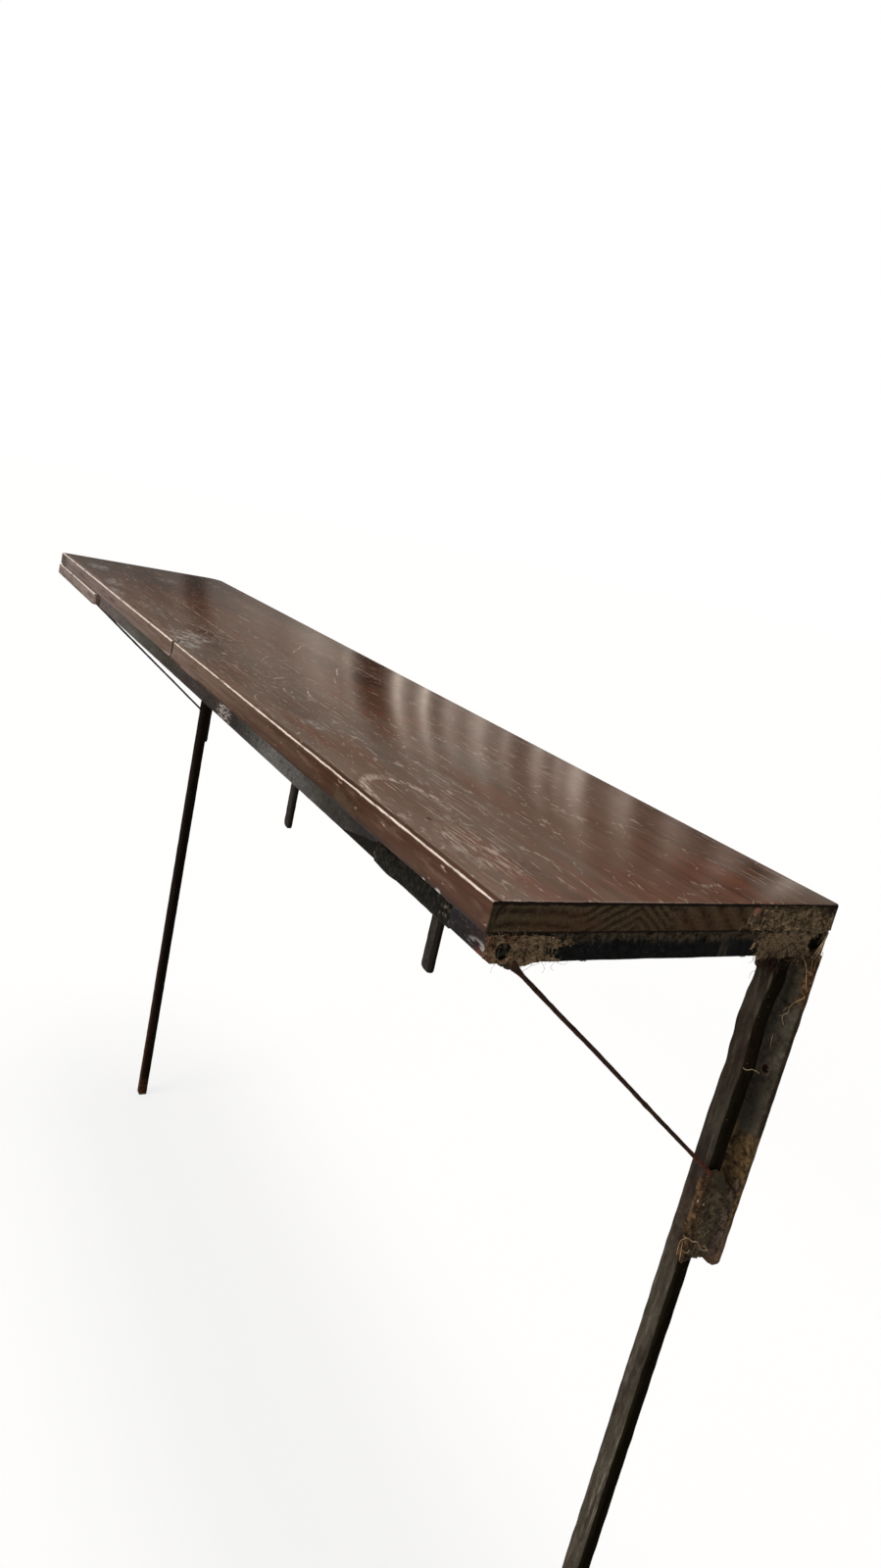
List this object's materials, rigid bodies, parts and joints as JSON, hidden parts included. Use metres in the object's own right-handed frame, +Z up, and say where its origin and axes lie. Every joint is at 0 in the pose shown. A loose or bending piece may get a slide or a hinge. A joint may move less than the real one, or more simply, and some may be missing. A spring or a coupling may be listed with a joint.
{
  "type": "wall bar table",
  "caption": "Long narrow standing-height wall table: a plank top on a welded square-tube frame, carried by flat wall brackets and square legs near the wall, with rod stays.",
  "frame": {"origin": "on the floor, under the middle of the part's outer box in plan", "axes": "+X along the table towards its near, open-ended side; +Y from the room edge to the wall; +Z up"},
  "size_m": [1.58, 0.303, 1.07],
  "materials": {
    "top_wood": "worn dark red-brown varnish, scratched",
    "edge_wood": "worn red-brown varnish, pale along the edge",
    "cover_wood": "dull lilac-brown, dusty",
    "grey_frame_paint": "dark paint under grey dust",
    "black_frame_paint": "chipped black paint, dusty",
    "bracket_paint": "worn grey paint with rust at the edges",
    "leg_paint": "worn grey-green paint, scratched, rust at both ends",
    "foot_plug_plastic": "dirty brown plastic",
    "rod_steel": "dull brown rusted rod",
    "rusty_plate": "rough rusted steel",
    "weld_metal": "rough weld bead",
    "screw_zinc": "dull zinc plate"
  },
  "bodies": {
    "root": {"top_board": "top_wood", "edge_strip_near": "edge_wood", "edge_strip_far": "edge_wood", "far_cover_strip": "cover_wood", "front_rail_long": "grey_frame_paint", "front_rail_near_piece": "grey_frame_paint", "front_rail_splice": "black_frame_paint", "back_rail": "black_frame_paint", "near_cross_bar": "black_frame_paint", "mid_cross_bar_near": "black_frame_paint", "mid_cross_bar_far": "black_frame_paint", "far_leg_cross_bar": "black_frame_paint", "far_end_cross_bar": "black_frame_paint", "wall_bracket_near": "bracket_paint", "wall_bracket_mid_near": "bracket_paint", "wall_bracket_mid_far": "bracket_paint", "wall_bracket_far": "bracket_paint", "near_leg": "leg_paint", "far_leg": "leg_paint", "near_foot_plug": "foot_plug_plastic", "far_foot_plug": "foot_plug_plastic", "near_stay_rod": "rod_steel", "far_stay_rod": "rod_steel", "near_tie_plate": "rusty_plate", "frame_welds": "weld_metal", "bracket_welds": "weld_metal", "leg_welds": "weld_metal", "stay_welds": "weld_metal", "tie_plate_welds": "weld_metal", "splice_welds": "weld_metal", "board_screws": "screw_zinc"}
  },
  "joints": []
}
